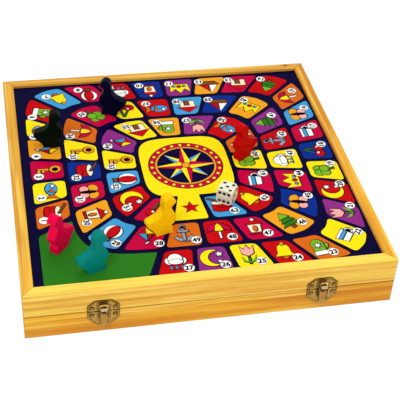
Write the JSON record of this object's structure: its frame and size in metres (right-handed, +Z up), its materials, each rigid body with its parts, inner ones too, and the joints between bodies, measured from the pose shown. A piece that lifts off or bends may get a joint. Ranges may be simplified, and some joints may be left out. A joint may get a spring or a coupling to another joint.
{
  "type": "folding game box",
  "caption": "Square wooden case whose two hinged trays carry sunk playing boards on their outer faces, held by draw latches, with goose-shaped pieces and a die on top.",
  "frame": {"origin": "middle of the underside of the shut case, at the rim's resting plane", "axes": "+Z up through the lid, -Y towards the latches, +Y towards the hinges, +X to the right seen from the latches"},
  "size_m": [0.34, 0.3521, 0.0897],
  "materials": {
    "pine": "varnished golden pine",
    "plywood": "raw plywood seen inside",
    "slat_wood": "planed light wood",
    "ludo_print": "satin varnished print",
    "goose_print": "satin varnished print",
    "hinge_brass": "aged brass plating",
    "screw_brass": "aged brass plating",
    "plate_brass": "aged brass plating, darkened in the corners",
    "lever_brass": "aged brass plating, rubbed bright on the bends",
    "yellow_paint": "gloss lacquer on wood",
    "red_paint": "gloss lacquer on wood",
    "magenta_paint": "gloss lacquer on wood",
    "teal_paint": "gloss lacquer on wood",
    "blue_paint": "gloss lacquer on wood",
    "green_paint": "gloss lacquer on wood",
    "die_ivory": "smooth ivory plastic with black spots"
  },
  "bodies": {
    "base": {"base_front_rail": "pine", "base_back_rail": "pine", "base_left_rail": "pine", "base_right_rail": "pine", "ludo_board_panel": "plywood", "ludo_board_print": "ludo_print", "long_divider": "slat_wood", "left_cross_divider": "slat_wood", "right_cross_divider": "slat_wood", "left_hinge_base_leaf": "hinge_brass", "right_hinge_base_leaf": "hinge_brass", "left_hinge_pin": "hinge_brass", "right_hinge_pin": "hinge_brass", "left_hinge_base_screws": "screw_brass", "right_hinge_base_screws": "screw_brass", "left_latch_plate": "plate_brass", "right_latch_plate": "plate_brass", "left_latch_screws": "screw_brass", "right_latch_screws": "screw_brass", "left_lever_pin": "lever_brass", "right_lever_pin": "lever_brass"},
    "lid": {"lid_front_rail": "pine", "lid_back_rail": "pine", "lid_left_rail": "pine", "lid_right_rail": "pine", "goose_board_panel": "plywood", "goose_board_print": "goose_print", "left_hinge_lid_leaf": "hinge_brass", "right_hinge_lid_leaf": "hinge_brass", "left_hinge_lid_screws": "screw_brass", "right_hinge_lid_screws": "screw_brass", "left_latch_keeper": "plate_brass", "right_latch_keeper": "plate_brass", "left_keeper_screws": "screw_brass", "right_keeper_screws": "screw_brass"},
    "left_lever": {"left_latch_lever": "lever_brass", "left_loop_pin": "lever_brass"},
    "right_lever": {"right_latch_lever": "lever_brass", "right_loop_pin": "lever_brass"},
    "left_loop": {"left_latch_loop": "lever_brass"},
    "right_loop": {"right_latch_loop": "lever_brass"},
    "yellow_piece": {"yellow_goose": "yellow_paint"},
    "red_piece": {"red_goose": "red_paint"},
    "magenta_piece": {"magenta_goose": "magenta_paint"},
    "teal_piece": {"teal_goose": "teal_paint"},
    "blue_piece": {"blue_goose": "blue_paint"},
    "green_piece": {"green_goose": "green_paint"},
    "die_piece": {"die": "die_ivory"}
  },
  "joints": [
    {"name": "lid_hinge", "type": "hinge", "parent": "base", "child": "lid", "pos_m": [0, 0.1729, 0.02575], "axis": [-1, 0, 0], "range_deg": [0, 180]},
    {"name": "left_lever_pivot", "type": "hinge", "parent": "base", "child": "left_lever", "pos_m": [-0.1, -0.1724, 0.02445], "axis": [-1, 0, 0], "range_deg": [0, 110]},
    {"name": "left_loop_pivot", "type": "hinge", "parent": "left_lever", "child": "left_loop", "pos_m": [-0.1, -0.1723, 0.02045], "axis": [1, 0, 0], "range_deg": [0, 82.5]},
    {"name": "right_lever_pivot", "type": "hinge", "parent": "base", "child": "right_lever", "pos_m": [0.1, -0.1724, 0.02445], "axis": [-1, 0, 0], "range_deg": [0, 110]},
    {"name": "right_loop_pivot", "type": "hinge", "parent": "right_lever", "child": "right_loop", "pos_m": [0.1, -0.1723, 0.02045], "axis": [1, 0, 0], "range_deg": [0, 82.5]},
    {"name": "yellow_lift", "type": "slide", "parent": "lid", "child": "yellow_piece", "axis": [0, 0, 1], "range_m": [0, 0.05]},
    {"name": "red_lift", "type": "slide", "parent": "lid", "child": "red_piece", "axis": [0, 0, 1], "range_m": [0, 0.05]},
    {"name": "magenta_lift", "type": "slide", "parent": "lid", "child": "magenta_piece", "axis": [0, 0, 1], "range_m": [0, 0.05]},
    {"name": "teal_lift", "type": "slide", "parent": "lid", "child": "teal_piece", "axis": [0, 0, 1], "range_m": [0, 0.05]},
    {"name": "blue_lift", "type": "slide", "parent": "lid", "child": "blue_piece", "axis": [0, 0, 1], "range_m": [0, 0.05]},
    {"name": "green_lift", "type": "slide", "parent": "lid", "child": "green_piece", "axis": [0, 0, 1], "range_m": [0, 0.05]},
    {"name": "die_lift", "type": "slide", "parent": "lid", "child": "die_piece", "axis": [0, 0, 1], "range_m": [0, 0.05]}
  ],
  "couplings": [
    {"joint": "left_loop_pivot", "follows": "left_lever_pivot", "ratio": 0.75},
    {"joint": "right_loop_pivot", "follows": "right_lever_pivot", "ratio": 0.75}
  ]
}
